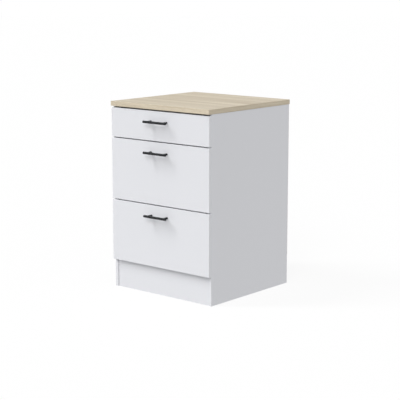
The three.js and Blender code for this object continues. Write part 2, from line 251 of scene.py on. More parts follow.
def add_node(tree, kind, inputs=None, **options):
    """Adds a node, sets its options, and fills its inputs with values or links."""
    node = tree.nodes.new(kind)
    for name, value in options.items():
        setattr(node, name, value)
    for key, value in (inputs or {}).items():
        if isinstance(value, bpy.types.NodeSocket):
            tree.links.new(value, node.inputs[key])
        else:
            node.inputs[key].default_value = value
    return node


def output_of(tree, kind, inputs=None, **options):
    """The first output of a new node."""
    return add_node(tree, kind, inputs, **options).outputs[0]


def math_node(tree, operation, *values):
    return output_of(tree, "ShaderNodeMath", dict(enumerate(values)), operation=operation)


def scaled(tree, vector, scale):
    """The vector with each of its parts multiplied by that of scale."""
    return output_of(tree, "ShaderNodeVectorMath", {0: vector, 1: scale}, operation="MULTIPLY")


def shifted(tree, vector, shift):
    return output_of(tree, "ShaderNodeVectorMath", {0: vector, 1: shift}, operation="ADD")


def noise(tree, vector, scale=1.0, detail=2.0, roughness=0.5):
    inputs = {"Vector": vector, "Scale": scale, "Detail": detail, "Roughness": roughness}
    return add_node(tree, "ShaderNodeTexNoise", inputs).outputs["Fac"]


def remap(tree, value, low, high, to_low=0.0, to_high=1.0, kind="LINEAR"):
    inputs = dict(enumerate((value, low, high, to_low, to_high)))
    return output_of(tree, "ShaderNodeMapRange", inputs, interpolation_type=kind)


def full_range(tree, value):
    """Noise, most of which lies between 0.3 and 0.7, stretched to the whole of 0 to 1."""
    return remap(tree, value, 0.3, 0.7)


def blended(tree, factor, first, second):
    """The colour between first and second at factor."""
    inputs = {0: factor, 6: first, 7: second}
    return add_node(tree, "ShaderNodeMix", inputs, data_type="RGBA").outputs[2]


def shade(rgb):
    """The colour as a socket takes it, with its alpha."""
    return (*rgb, 1.0)


def toned(rgb, share):
    """The colour, this many times as bright, as a socket takes it."""
    return shade([part * share for part in rgb])


# ---- Shader node groups ------------------------------------------------------------------------


def shader_group(name, inputs, outputs, fill):
    """A shader node group of a Vector and these inputs, {label: (kind, default)}, and these outputs,
    {label: kind}. fill(tree, given) makes its nodes and returns what goes to each output."""
    tree = bpy.data.node_groups.get(name)
    if tree is not None:
        return tree
    tree = bpy.data.node_groups.new(name, "ShaderNodeTree")
    tree.interface.new_socket("Vector", in_out="INPUT", socket_type=VECTOR)
    for label, (kind, default) in inputs.items():
        tree.interface.new_socket(label, in_out="INPUT", socket_type=kind).default_value = default
    for label, kind in outputs.items():
        tree.interface.new_socket(label, in_out="OUTPUT", socket_type=kind)
    given = tree.nodes.new("NodeGroupInput").outputs
    add_node(tree, "NodeGroupOutput", fill(tree, given))
    return tree


def fine_surface():
    """Cloudy tone and fine grain, as on edge band, backing paper and coated metal."""

    def fill(tree, given):
        clouds = noise(tree, given["Vector"], scale=5.0, detail=3.0, roughness=0.55)
        grain_scale = math_node(tree, "DIVIDE", 1.0, given["Grain"])
        grain = noise(tree, given["Vector"], grain_scale, roughness=0.6)
        return {"Tone": full_range(tree, clouds), "Height": grain}

    return shader_group("fine_surface", {"Grain": (FLOAT, 1.0 * MM)}, {"Tone": FLOAT, "Height": FLOAT}, fill)


# How often each layer of the wood grain repeats in a metre: along the grain, and across it both ways
SWAY_REPEATS = (1.3, 3.0, 3.0)
BAND_REPEATS = (0.7, 9.0, 9.0)
STREAK_REPEATS = (1.6, 42.0, 42.0)
RING_REPEATS = (0.42, 4.6, 4.6)
FIBRE_REPEATS = (9.0, 620.0, 620.0)
PIT_REPEATS = (70.0, 1500.0, 1500.0)
# The share of each layer in the wood's darkness
BAND_SHARE = 0.34
STREAK_SHARE = 0.30
RING_SHARE = 0.16
FIBRE_SHARE = 0.20

SWAY = 0.06  # how far the grain strays to the side
PORE_RANGE = (0.63, 0.72)  # the noise from which a pore shows, and at which it is deepest
PORE_STRENGTH = 0.45  # how much of the pores' colour shows in the deepest
FIBRE_RELIEF = 0.4  # height of the fibres, in depths of a pore


def wood_grain():
    """Plain-sawn wood whose grain runs along the vector's X: bands, rings, fibres and pores."""

    def fill(tree, given):
        vector = given["Vector"]
        bend = noise(tree, scaled(tree, vector, SWAY_REPEATS))
        sway = output_of(tree, "ShaderNodeCombineXYZ", {1: math_node(tree, "MULTIPLY", bend, SWAY)})
        swayed = shifted(tree, vector, sway)

        bands = noise(tree, scaled(tree, swayed, BAND_REPEATS))
        streaks = noise(tree, scaled(tree, swayed, STREAK_REPEATS), detail=4.0, roughness=0.62)
        ring_inputs = {
            "Vector": scaled(tree, swayed, RING_REPEATS),
            "Scale": 2.4,
            "Distortion": 2.2,
            "Detail": 3.0,
            "Detail Scale": 1.4,
            "Detail Roughness": 0.6,
        }
        wave = {"wave_type": "RINGS", "rings_direction": "X", "wave_profile": "SAW"}
        rings = add_node(tree, "ShaderNodeTexWave", ring_inputs, **wave).outputs["Fac"]
        fibres = noise(tree, scaled(tree, swayed, FIBRE_REPEATS), roughness=0.7)
        pits = noise(tree, scaled(tree, swayed, PIT_REPEATS), detail=1.0)
        pores = remap(tree, pits, *PORE_RANGE)

        wide = math_node(tree, "MULTIPLY", full_range(tree, bands), BAND_SHARE)
        narrow = math_node(tree, "MULTIPLY", full_range(tree, streaks), STREAK_SHARE)
        ringed = math_node(tree, "MULTIPLY", rings, RING_SHARE)
        fibred = math_node(tree, "MULTIPLY", full_range(tree, fibres), FIBRE_SHARE)
        figure = math_node(tree, "ADD", wide, narrow)
        texture = math_node(tree, "ADD", ringed, fibred)
        relief = math_node(tree, "SUBTRACT", math_node(tree, "MULTIPLY", fibres, FIBRE_RELIEF), pores)
        return {"Darkness": math_node(tree, "ADD", figure, texture), "Pores": pores, "Height": relief}

    return shader_group("wood_grain", {}, {"Darkness": FLOAT, "Pores": FLOAT, "Height": FLOAT}, fill)


CHIP_WOBBLE = 0.8 * MM  # how far the flakes' outlines stray
SEAM_RANGE = (0.2, 0.75)  # where the seam between flakes begins and is full, from a flake's middle
SEAM_DARKNESS = 0.55
GRIT_REPEATS = 5.0  # grains across one flake
GRIT_LIGHTNESS = 0.35


def pressed_chips():
    """The flakes of a pressed board, seen on a sawn edge."""

    def fill(tree, given):
        vector = given["Vector"]
        per_metre = math_node(tree, "DIVIDE", 1.0, given["Size"])
        cloud_inputs = {"Vector": vector, "Scale": per_metre, "Detail": 2.0}
        wobble = add_node(tree, "ShaderNodeTexNoise", cloud_inputs).outputs["Color"]
        push_inputs = {0: wobble, "Scale": CHIP_WOBBLE}
        push = output_of(tree, "ShaderNodeVectorMath", push_inputs, operation="SCALE")
        flake_inputs = {"Vector": shifted(tree, vector, push), "Scale": per_metre}
        flakes = add_node(tree, "ShaderNodeTexVoronoi", flake_inputs).outputs
        tint = output_of(tree, "ShaderNodeSeparateColor", {0: flakes["Color"]})
        seam = remap(tree, flakes["Distance"], *SEAM_RANGE)
        grit = noise(tree, vector, math_node(tree, "MULTIPLY", per_metre, GRIT_REPEATS), roughness=0.6)

        flaked = blended(tree, tint, given["Light"], given["Dark"])
        seamed = blended(tree, math_node(tree, "MULTIPLY", seam, SEAM_DARKNESS), flaked, given["Dark"])
        gritty = blended(tree, math_node(tree, "MULTIPLY", grit, GRIT_LIGHTNESS), seamed, given["Light"])
        return {"Color": gritty, "Height": math_node(tree, "SUBTRACT", grit, seam)}

    inputs = {
        "Size": (FLOAT, 2.0 * MM),
        "Light": (COLOUR, shade((0.6, 0.45, 0.28))),
        "Dark": (COLOUR, shade((0.3, 0.19, 0.1))),
    }
    return shader_group("pressed_chips", inputs, {"Color": COLOUR, "Height": FLOAT}, fill)


PATCH_REPEATS = 45.0  # in a metre
SCRATCH_REPEATS = (60.0, 900.0, 900.0)  # in a metre, along the scratches and across them
PATCH_RANGE = (0.35, 0.75)  # the noise from which a patch shows, and at which it is full
SCRATCH_RANGE = (0.66, 0.74)


def light_scuffs():
    """Faint scratches and rubbed patches, for cast and coated metal."""

    def fill(tree, given):
        clouds = noise(tree, given["Vector"], PATCH_REPEATS, detail=3.0, roughness=0.6)
        lines = noise(tree, scaled(tree, given["Vector"], SCRATCH_REPEATS), roughness=0.6)
        return {"Patches": remap(tree, clouds, *PATCH_RANGE), "Scratches": remap(tree, lines, *SCRATCH_RANGE)}

    return shader_group("light_scuffs", {}, {"Patches": FLOAT, "Scratches": FLOAT}, fill)


# ---- Finishes ----------------------------------------------------------------------------------

FINISH_ENDING = "_finish"  # of a material's name, which keeps it apart from the frame's own materials


class Finish:
    """A material in the making: its tree and its Principled shader."""

    def __init__(self, name, **plain):
        self.material = bpy.data.materials.new(name + FINISH_ENDING)
        self.tree = emptied(self.material)
        self.shader = add_node(self.tree, "ShaderNodeBsdfPrincipled")
        for label, value in plain.items():
            label = label.replace("_", " ").title().replace("Ior", "IOR")
            self.shader.inputs[label].default_value = value
        add_node(self.tree, "ShaderNodeOutputMaterial", {"Surface": self.shader.outputs[0]})

    def place(self):
        """The Object coordinates, on which every pattern lies."""
        return add_node(self.tree, "ShaderNodeTexCoord").outputs["Object"]

    def group(self, group, **inputs):
        """Places a shader node group with these values, on the Object coordinates unless a vector is
        given."""
        if "vector" not in inputs:
            inputs["vector"] = self.place()
        inputs = {label.title(): value for label, value in inputs.items()}
        return add_node(self.tree, "ShaderNodeGroup", node_tree=group(), inputs=inputs).outputs

    def paint(self, colour_socket):
        self.tree.links.new(colour_socket, self.shader.inputs["Base Color"])

    def gloss(self, value, smooth, rough):
        """Roughness from smooth to rough as value goes from 0 to 1."""
        roughness = remap(self.tree, value, 0.0, 1.0, smooth, rough)
        self.tree.links.new(roughness, self.shader.inputs["Roughness"])

    def relief(self, height, depth):
        bump = output_of(self.tree, "ShaderNodeBump", {"Height": height, "Distance": depth, "Strength": 1.0})
        self.tree.links.new(bump, self.shader.inputs["Normal"])


def plain_finish(name, rgb, roughness, metallic=0.0):
    """One colour and one gloss all over."""
    return Finish(name, base_color=shade(rgb), roughness=roughness, metallic=metallic).material


def clouded_finish(name, rgb, spread, smooth, rough, grain, depth):
    """A surface that is a little cloudy in tone and gloss, with a fine grain."""
    finish = Finish(name)
    surface = finish.group(fine_surface, grain=grain)
    finish.paint(blended(finish.tree, surface["Tone"], shade(rgb), toned(rgb, 1.0 - spread)))
    finish.gloss(surface["Tone"], smooth, rough)
    finish.relief(surface["Height"], depth)
    return finish.material


def white_laminate():
    return plain_finish("white_laminate", settings().boards.white, roughness=0.4)


def white_band():
    rgb = settings().boards.band_white
    return clouded_finish(
        "white_band", rgb, spread=0.01, smooth=0.38, rough=0.43, grain=1.6 * MM, depth=0.01 * MM
    )


def white_hardboard():
    return plain_finish("white_hardboard", settings().boards.hardboard_white, roughness=0.4)


def brown_hardboard():
    return plain_finish("brown_hardboard", settings().boards.hardboard_brown, roughness=0.75)


def backing_paper():
    rgb = (0.22, 0.17, 0.12)
    return clouded_finish(
        "backing_paper", rgb, spread=0.08, smooth=0.60, rough=0.72, grain=1.2 * MM, depth=0.02 * MM
    )


def coated_steel():
    rgb = settings().runners.white
    return clouded_finish(
        "coated_steel", rgb, spread=0.03, smooth=0.30, rough=0.40, grain=1.1 * MM, depth=0.03 * MM
    )


def nylon():
    return plain_finish("nylon", (0.8784, 0.8706, 0.8196), roughness=0.4)


def zinc_steel():
    return plain_finish("zinc_steel", (0.549, 0.5608, 0.5804), roughness=0.4, metallic=0.9)


def chipboard():
    finish = Finish("chipboard", roughness=0.85)
    light = shade((0.60, 0.45, 0.27))
    dark = shade((0.36, 0.24, 0.13))
    chips = finish.group(pressed_chips, size=1.7 * MM, light=light, dark=dark)
    finish.paint(chips["Color"])
    finish.relief(chips["Height"], depth=0.25 * MM)
    return finish.material


def oak_finish(name, along, lift):
    """Oak laminate whose grain runs along the world's x or y, with its colours this many times as bright,
    which paints light on the upright edge bands.
    """
    chosen = settings().worktop
    finish = Finish(name, specular_ior_level=0.2)
    tree = finish.tree
    vector = finish.place()
    if along == "y":
        parts = add_node(tree, "ShaderNodeSeparateXYZ", {0: vector}).outputs
        swapped = {0: parts["Y"], 1: parts["X"], 2: parts["Z"]}
        vector = output_of(tree, "ShaderNodeCombineXYZ", swapped)
    grain = finish.group(wood_grain, vector=vector)
    wood = blended(tree, grain["Darkness"], toned(chosen.light, lift), toned(chosen.dark, lift))
    pore_share = math_node(tree, "MULTIPLY", grain["Pores"], PORE_STRENGTH)
    finish.paint(blended(tree, pore_share, wood, toned(chosen.pore, lift)))
    finish.gloss(grain["Darkness"], smooth=0.50, rough=0.62)
    finish.relief(grain["Height"], depth=0.05 * MM)
    return finish.material


def oak_top():
    return oak_finish("oak_top", "x", 1.0)


def oak_front_band():
    # Painted light: the front edge band is the top's oak, painted brighter
    return oak_finish("oak_front_band", "x", settings().worktop.band_lift)


def oak_side_band():
    # Painted light: the side edge bands are the top's oak, painted brighter
    return oak_finish("oak_side_band", "y", settings().worktop.band_lift)


def cast_zinc():
    finish = Finish("cast_zinc", metallic=1.0)
    rgb = (0.50, 0.50, 0.49)
    dull = toned(rgb, 0.85)
    scuffs = finish.group(light_scuffs)
    finish.paint(blended(finish.tree, scuffs["Patches"], shade(rgb), dull))
    finish.gloss(scuffs["Patches"], smooth=0.40, rough=0.55)
    finish.relief(scuffs["Scratches"], depth=-0.01 * MM)
    return finish.material


SCRATCH_BRIGHTNESS = 2.2  # of the black coating's colour where it is scratched
SCRATCH_STRENGTH = 0.25  # how much of that colour shows
COATING_SMOOTHER = 0.03  # how much less than its set roughness the coating has between rubbed patches
COATING_ROUGHER = 0.04  # how much more it has on them


def black_coating():
    chosen = settings().handles
    finish = Finish("black_coating", specular_ior_level=0.2)
    scuffs = finish.group(light_scuffs)
    surface = finish.group(fine_surface, grain=0.5 * MM)
    worn = math_node(finish.tree, "MULTIPLY", scuffs["Scratches"], SCRATCH_STRENGTH)
    finish.paint(blended(finish.tree, worn, shade(chosen.black), toned(chosen.black, SCRATCH_BRIGHTNESS)))
    roughness = chosen.gloss_roughness
    finish.gloss(scuffs["Patches"], roughness - COATING_SMOOTHER, roughness + COATING_ROUGHER)
    finish.relief(surface["Height"], depth=0.012 * MM)
    return finish.material


def finish_of(maker):
    """The material that this function makes, made once."""
    return bpy.data.materials.get(maker.__name__ + FINISH_ENDING) or maker()


# ---- Shapes ------------------------------------------------------------------------------------

SHARP_FROM = math.radians(32.0)  # an edge that turns more than this stays sharp


def object_from(shape, name, makers=()):
    """Turns a bmesh into an object with these finishes."""
    mesh = bpy.data.meshes.new(name)
    shape.to_mesh(mesh)
    shape.free()
    if "custom_normal" in mesh.attributes:  # left by a mesh that was read in, and stale by now
        mesh.attributes.remove(mesh.attributes["custom_normal"])
    for maker in makers:
        mesh.materials.append(finish_of(maker))
    piece = bpy.data.objects.new(name, mesh)
    bpy.context.scene.collection.objects.link(piece)
    return piece


def settle(piece):
    """Makes the evaluated shape of a piece its own mesh, and takes its modifiers off."""
    graph = bpy.context.evaluated_depsgraph_get()
    shape = bpy.data.meshes.new_from_object(piece.evaluated_get(graph))
    piece.modifiers.clear()
    piece.data = shape
    shape.name = piece.name
    return piece


def shade_evenly(piece):
    """Smooth shading on the rounded stretches, with the flat faces kept flat."""
    piece.data.shade_smooth()
    piece.data.set_sharp_from_angle(angle=SHARP_FROM)
    modifier = piece.modifiers.new("even_shading", "WEIGHTED_NORMAL")
    modifier.keep_sharp = True
    return settle(piece)


def remove(*objects):
    for thing in objects:
        bpy.data.objects.remove(thing)


def seat(piece, *nodes, body=None, slot=None):
    """Puts a piece on its body, in place of the nodes if there are any. The slot is not used."""
    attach(piece, body or BODY_OF[nodes[0]])
    if nodes:
        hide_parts(*nodes)


def rounded(corners, radii, steps):
    """A line through 2-D corners, with an arc in place of each inner corner. The radii are one for all
    of them, or a list."""
    corners = [Vector(corner) for corner in corners]
    if not isinstance(radii, (list, tuple)):
        radii = [radii] * (len(corners) - 2)
    points = [corners[0]]
    for before, corner, after, radius in zip(corners, corners[1:], corners[2:], radii):
        if radius <= 0.0:
            points.append(corner)
            continue
        back, ahead = before - corner, after - corner
        half_angle = back.angle(ahead) / 2
        reach = min(radius / math.tan(half_angle), back.length / 2, ahead.length / 2)
        start = corner + back.normalized() * reach
        end = corner + ahead.normalized() * reach
        inwards = (back.normalized() + ahead.normalized()).normalized()
        middle = corner + inwards * (reach / math.cos(half_angle))
        for step in range(steps + 1):
            spoke = (start - middle).lerp(end - middle, step / steps).normalized()
            points.append(middle + spoke * (start - middle).length)
    return points + [corners[-1]]


def solid_from(shape, name):
    """A finished bmesh as a working object with its faces outwards."""
    bmesh.ops.recalc_face_normals(shape, faces=shape.faces)
    return object_from(shape, name)


def turned_solid(name, outline, sides, centre=(0, 0, 0), axis=(0, 0, 1)):
    """A solid turned round the axis, from (radius, place) points. The outline starts and ends on the
    axis, or closes on itself."""
    shape = bmesh.new()
    axis = Vector(axis)
    across = axis.orthogonal().normalized()
    up = axis.cross(across)
    turns = [math.tau * side / sides for side in range(sides)]
    spokes = [across * math.cos(turn) + up * math.sin(turn) for turn in turns]
    rings = []
    for radius, place in outline:
        middle = Vector(centre) + axis * place
        reach = spokes if radius >= NEAR else [Vector()]
        rings.append([shape.verts.new(middle + spoke * radius) for spoke in reach])
    pairs = list(zip(rings, rings[1:]))
    if len(rings[0]) > 1:
        pairs.append((rings[-1], rings[0]))
    for first, second in pairs:
        for side in range(sides):
            corners = [first[side % len(first)], first[(side + 1) % len(first)]]
            corners += [second[(side + 1) % len(second)], second[side % len(second)]]
            shape.faces.new(list(dict.fromkeys(corners)))
    return solid_from(shape, name)


def drawn_solid(name, outline, to_point, start, end):
    """A solid of this 2-D outline, drawn out from start to end by to_point(u, v, depth)."""
    shape = bmesh.new()
    near = [shape.verts.new(to_point(u, v, start)) for u, v in outline]
    far = [shape.verts.new(to_point(u, v, end)) for u, v in outline]
    shape.faces.new(near)
    shape.faces.new(reversed(far))
    for index in range(len(outline)):
        after = (index + 1) % len(outline)
        shape.faces.new((near[index], far[index], far[after], near[after]))
    return solid_from(shape, name)


def along_x(u, v, depth):
    """The point of a solid that is drawn out along X."""
    return Vector((depth, u, v))


def along_y(u, v, depth):
    """The point of a solid that is drawn out along Y."""
    return Vector((u, depth, v))


def along_z(u, v, depth):
    """The point of a solid that is drawn out along Z."""
    return Vector((u, v, depth))


def sheet_outline(line, thickness):
    """The outline of a bent sheet, from the line through the middle of its thickness."""
    left, right = [], []
    for index, point in enumerate(line):
        along = line[min(index + 1, len(line) - 1)] - line[max(index - 1, 0)]
        across = Vector((-along.y, along.x)).normalized() * (thickness / 2)
        left.append(point + across)
        right.append(point - across)
    return left + right[::-1]


def block(name, first, second):
    """A working block between two opposite corners, which another shape is cut or joined with."""
    low = Vector([min(pair) for pair in zip(first, second)])
    high = Vector([max(pair) for pair in zip(first, second)])
    outline = [(low.x, low.z), (high.x, low.z), (high.x, high.z), (low.x, high.z)]
    return drawn_solid(name, outline, along_y, low.y, high.y)


# ---- Geometry node trees -----------------------------------------------------------------------

ROW = {"Count": WHOLE, "First": VECTOR, "Step": VECTOR}
TURNED = {"Fastener": OBJECT, "Facing": VECTOR, "Seed": WHOLE}


def geometry_tree(name, sockets, fill):
    """A geometry node tree with these named inputs, whose result is realized and given its material."""
    tree = bpy.data.node_groups.get(name)
    if tree is not None:
        return tree
    tree = bpy.data.node_groups.new(name, "GeometryNodeTree")
    for label, kind in {**sockets, "Material": "NodeSocketMaterial"}.items():
        tree.interface.new_socket(label, in_out="INPUT", socket_type=kind)
    tree.interface.new_socket("Geometry", in_out="OUTPUT", socket_type="NodeSocketGeometry")
    given = tree.nodes.new("NodeGroupInput").outputs
    real = realized(tree, fill(tree, given))
    coated = output_of(tree, "GeometryNodeSetMaterial", {"Geometry": real, "Material": given["Material"]})
    add_node(tree, "NodeGroupOutput", {"Geometry": coated})
    return tree


def grown(name, tree, maker, **values):
    """Runs a tree with these named values, and returns its result as a plain object."""
    piece = bpy.data.objects.new(name, bpy.data.meshes.new(name))
    bpy.context.scene.collection.objects.link(piece)
    modifier = piece.modifiers.new("growth", "NODES")
    modifier.node_group = tree
    identifiers = {item.name: item.identifier for item in tree.interface.items_tree if item.in_out == "INPUT"}
    modifier[identifiers["Material"]] = finish_of(maker)
    for label, value in values.items():
        modifier[identifiers[label.title()]] = value
    piece.update_tag()
    return settle(piece)


def shape_of(tree, thing):
    return add_node(tree, "GeometryNodeObjectInfo", {"Object": thing}).outputs["Geometry"]


def realized(tree, instances):
    return output_of(tree, "GeometryNodeRealizeInstances", {0: instances})


def points_in_a_row(tree, given):
    line = {"Count": given["Count"], "Start Location": given["First"], "Offset": given["Step"]}
    return output_of(tree, "GeometryNodeMeshLine", line, mode="OFFSET")


def copies_in_a_row(tree, given, source):
    copies = {"Points": points_in_a_row(tree, given), "Instance": source}
    return realized(tree, output_of(tree, "GeometryNodeInstanceOnPoints", copies))


def cut(tree, shape, *cutters):
    """The shape without what these solids cover."""
    options = {"operation": "DIFFERENCE", "solver": "MANIFOLD"}
    node = add_node(tree, "GeometryNodeMeshBoolean", {"Mesh 1": shape}, **options)
    for cutter in cutters:
        tree.links.new(cutter, node.inputs["Mesh 2"])
    return node.outputs[0]


def joined(tree, *shapes):
    """One solid of all these."""
    node = add_node(tree, "GeometryNodeMeshBoolean", operation="UNION", solver="MANIFOLD")
    for shape in shapes:
        tree.links.new(shape, node.inputs["Mesh 2"])
    return node.outputs[0]


def turned_fasteners(tree, given, points):
    """A fastener on each point, with its head facing one way and a random turn round its own axis."""
    facing = output_of(tree, "FunctionNodeAlignRotationToVector", {"Vector": given["Facing"]}, axis="Z")
    placed = {"Points": points, "Instance": shape_of(tree, given["Fastener"]), "Rotation": facing}
    copies = output_of(tree, "GeometryNodeInstanceOnPoints", placed)
    turn_inputs = {3: math.tau, "Seed": given["Seed"]}  # input 3 is the upper end of a random float
    turn = add_node(tree, "FunctionNodeRandomValue", turn_inputs, data_type="FLOAT").outputs[1]
    spin = output_of(tree, "ShaderNodeCombineXYZ", {2: turn})
    turned = {"Instances": copies, "Rotation": spin, "Local Space": True}
    return output_of(tree, "GeometryNodeRotateInstances", turned)


def fastener_row_tree():
    """Fasteners in a straight row."""

    def fill(tree, given):
        return turned_fasteners(tree, given, points_in_a_row(tree, given))

    return geometry_tree("fastener_row", {**TURNED, **ROW}, fill)


def fastener_frame_tree():
    """Fasteners at even spacing round an upright rectangle."""

    def fill(tree, given):
        sizes = {"Width": given["Width"], "Height": given["Height"]}
        flat = output_of(tree, "GeometryNodeCurvePrimitiveQuadrilateral", sizes)
        stand = {"Geometry": flat, "Translation": given["Centre"], "Rotation": (math.pi / 2, 0.0, 0.0)}
        upright = output_of(tree, "GeometryNodeTransform", stand)
        spacing = {"Curve": upright, "Length": given["Spacing"]}
        spaced = output_of(tree, "GeometryNodeResampleCurve", spacing, mode="LENGTH")
        points = output_of(tree, "GeometryNodeCurveToPoints", {"Curve": spaced}, mode="EVALUATED")
        return turned_fasteners(tree, given, points)

    sockets = {**TURNED, "Width": FLOAT, "Height": FLOAT, "Centre": VECTOR, "Spacing": FLOAT}
    return geometry_tree("fastener_frame", sockets, fill)


def pressed_strip_tree():
    """A bent strip with a row of slots and a notch cut out, and its pin and stop joined on."""

    def fill(tree, given):
        slots = copies_in_a_row(tree, given, shape_of(tree, given["Slot"]))
        pressed = cut(tree, shape_of(tree, given["Strip"]), slots, shape_of(tree, given["Notch"]))
        return joined(tree, pressed, shape_of(tree, given["Pin"]), shape_of(tree, given["Stop"]))

    solids = dict.fromkeys(("Strip", "Notch", "Pin", "Stop", "Slot"), OBJECT)
    return geometry_tree("pressed_strip", {**solids, **ROW}, fill)


def bar_handle_tree():
    """A bar joined to a row of posts."""

    def fill(tree, given):
        posts = copies_in_a_row(tree, given, shape_of(tree, given["Post"]))
        return joined(tree, shape_of(tree, given["Bar"]), posts)

    return geometry_tree("bar_handle", {"Bar": OBJECT, "Post": OBJECT, **ROW}, fill)


# ---- Boards ------------------------------------------------------------------------------------

SAWN = (chipboard, brown_hardboard, backing_paper)  # finishes of sides that have no rounded edge
FLAT_WITHIN = math.radians(1.0)  # triangles that turn less than this are one flat face


def sides_near(point, low, high, distance):
    """The sides of the box, such as "+x", that the point lies within this distance of."""
    found = set()
    for axis, letter in enumerate("xyz"):
        if abs(point[axis] - low[axis]) < distance:
            found.add("-" + letter)
        if abs(point[axis] - high[axis]) < distance:
            found.add("+" + letter)
    return found


def board(node, finishes, rounding=None):
    """A board with the shape of its node, its banded edges rounded, and a finish for each side."""
    low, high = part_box(node)
    rounding = rounding or settings().boards.band_rounding
    thin = min(range(3), key=lambda axis: high[axis] - low[axis])
    broad = {sign + "xyz"[thin] for sign in "-+"}
    sawn = {side for side, maker in finishes.items() if maker in SAWN}

    shape = bmesh.new()
    shape.from_mesh(frame["nodes"][node].data)
    bmesh.ops.remove_doubles(shape, verts=shape.verts, dist=NEAR)
    bmesh.ops.dissolve_limit(shape, angle_limit=FLAT_WITHIN, verts=shape.verts, edges=shape.edges)

    def on_banded_edge(edge):
        first, second = (sides_near(vert.co, low, high, NEAR) for vert in edge.verts)
        shared = first & second
        return len(shared) == 2 and not shared & sawn

    bmesh.ops.bevel(
        shape,
        geom=[edge for edge in shape.edges if on_banded_edge(edge)],
        offset=rounding,
        offset_type="OFFSET",
        segments=settings().boards.band_steps,
        profile=0.5,  # a round one
        affect="EDGES",
        clamp_overlap=True,
    )

    makers = sorted(set(finishes.values()), key=lambda maker: maker.__name__)
    for face in shape.faces:
        centre = face.calc_center_median()
        flush = sides_near(centre, low, high, NEAR)
        near = sides_near(centre, low, high, rounding)
        if flush:
            maker = finishes[flush.pop()]
        elif len(near) > 1:
            maker = finishes[min(near - broad)]
        else:
            maker = finishes["cut"]
        face.material_index = makers.index(maker)
    piece = object_from(shape, f"{node}_board", makers)
    shade_evenly(piece)
    seat(piece, node)


def coats(everywhere, sawn="", **others):
    """A finish for each side: one everywhere, chipboard on the sawn sides, and these others."""
    chosen = {sign + letter: everywhere for sign in "-+" for letter in "xyz"}
    chosen["cut"] = chipboard
    for side in sawn.split():
        chosen[side] = chipboard
    for side, maker in others.items():
        chosen[side.replace("low_", "-").replace("high_", "+")] = maker
    return chosen


def banded(axis, sawn=""):
    """White laminate on the broad sides across this axis, white band on the narrow ones."""
    broad = {"low_" + axis: white_laminate, "high_" + axis: white_laminate}
    return coats(white_band, sawn, **broad)


class CABINET_OT_carcass_boards(bpy.types.Operator):
    """Make the side panels, bottom panel, plinth board and rails"""

    bl_idname = "cabinet.carcass_boards"
    bl_label = "Carcass Boards"

    def execute(self, context):
        for hand, _ in HANDS:
            board(f"side_panel_{hand}", banded("x", "+y -z +z"))
        board("bottom_panel", banded("z", "-x +x +y"))
        board("plinth_board", banded("y", "-x +x -z +z"))
        for rail in ("front_rail", "rear_rail"):
            board(rail, banded("z", "-x +x"))
        return {"FINISHED"}


class CABINET_OT_worktop(bpy.types.Operator):
    """Make the worktop with its oak laminate and banded edges"""

    bl_idname = "cabinet.worktop"
    bl_label = "Worktop"

    def execute(self, context):
        finishes = coats(oak_side_band, "+y", high_z=oak_top, low_y=oak_front_band, low_z=backing_paper)
        board("worktop", finishes, settings().worktop.edge_rounding)
        return {"FINISHED"}


class CABINET_OT_back_panel(bpy.types.Operator):
    """Make the back panel, white inside and brown outside, and the nails round it"""

    bl_idname = "cabinet.back_panel"
    bl_label = "Back Panel"

    def execute(self, context):
        board("back_panel", coats(brown_hardboard, low_y=white_hardboard))
        chosen = settings().fasteners
        low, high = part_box("back_panel")
        lift = 2.0 * MM  # so that the lowest nails stand in the middle of the bottom panel's edge
        nail = nail_solid()
        nails = grown(
            "back_panel_nails",
            fastener_frame_tree(),
            zinc_steel,
            fastener=nail,
            width=high.x - low.x - 2 * chosen.nail_inset,
            height=high.z - low.z - 2 * chosen.nail_inset - lift,
            centre=Vector(((low.x + high.x) / 2, high.y, (low.z + high.z + lift) / 2)),
            spacing=chosen.nail_spacing,
            facing=Vector((0.0, 1.0, 0.0)),
            seed=chosen.turn_seed,
        )
        shade_evenly(nails)
        seat(nails, body="carcass", slot="zinc_steel")
        remove(nail)
        return {"FINISHED"}


class CABINET_OT_drawer_fronts(bpy.types.Operator):
    """Make the three drawer fronts"""

    bl_idname = "cabinet.drawer_fronts"
    bl_label = "Drawer Fronts"

    def execute(self, context):
        for level in LEVELS:
            board(f"{level}_drawer_front", banded("y"))
        return {"FINISHED"}


class CABINET_OT_drawer_boxes(bpy.types.Operator):
    """Make the sides, backs and bottoms of the drawer boxes"""

    bl_idname = "cabinet.drawer_boxes"
    bl_label = "Drawer Boxes"

    def execute(self, context):
        for level in LEVELS:
            for hand, _ in HANDS:
                board(f"{level}_drawer_side_{hand}", banded("x", "-y +y"))
            board(f"{level}_drawer_back", banded("y", "-x +x"))
            board(f"{level}_drawer_bottom", coats(brown_hardboard, high_z=white_hardboard))
        return {"FINISHED"}


# ---- Handles -----------------------------------------------------------------------------------

END_STEPS = 5
POST_CHAMFER = 0.4 * MM


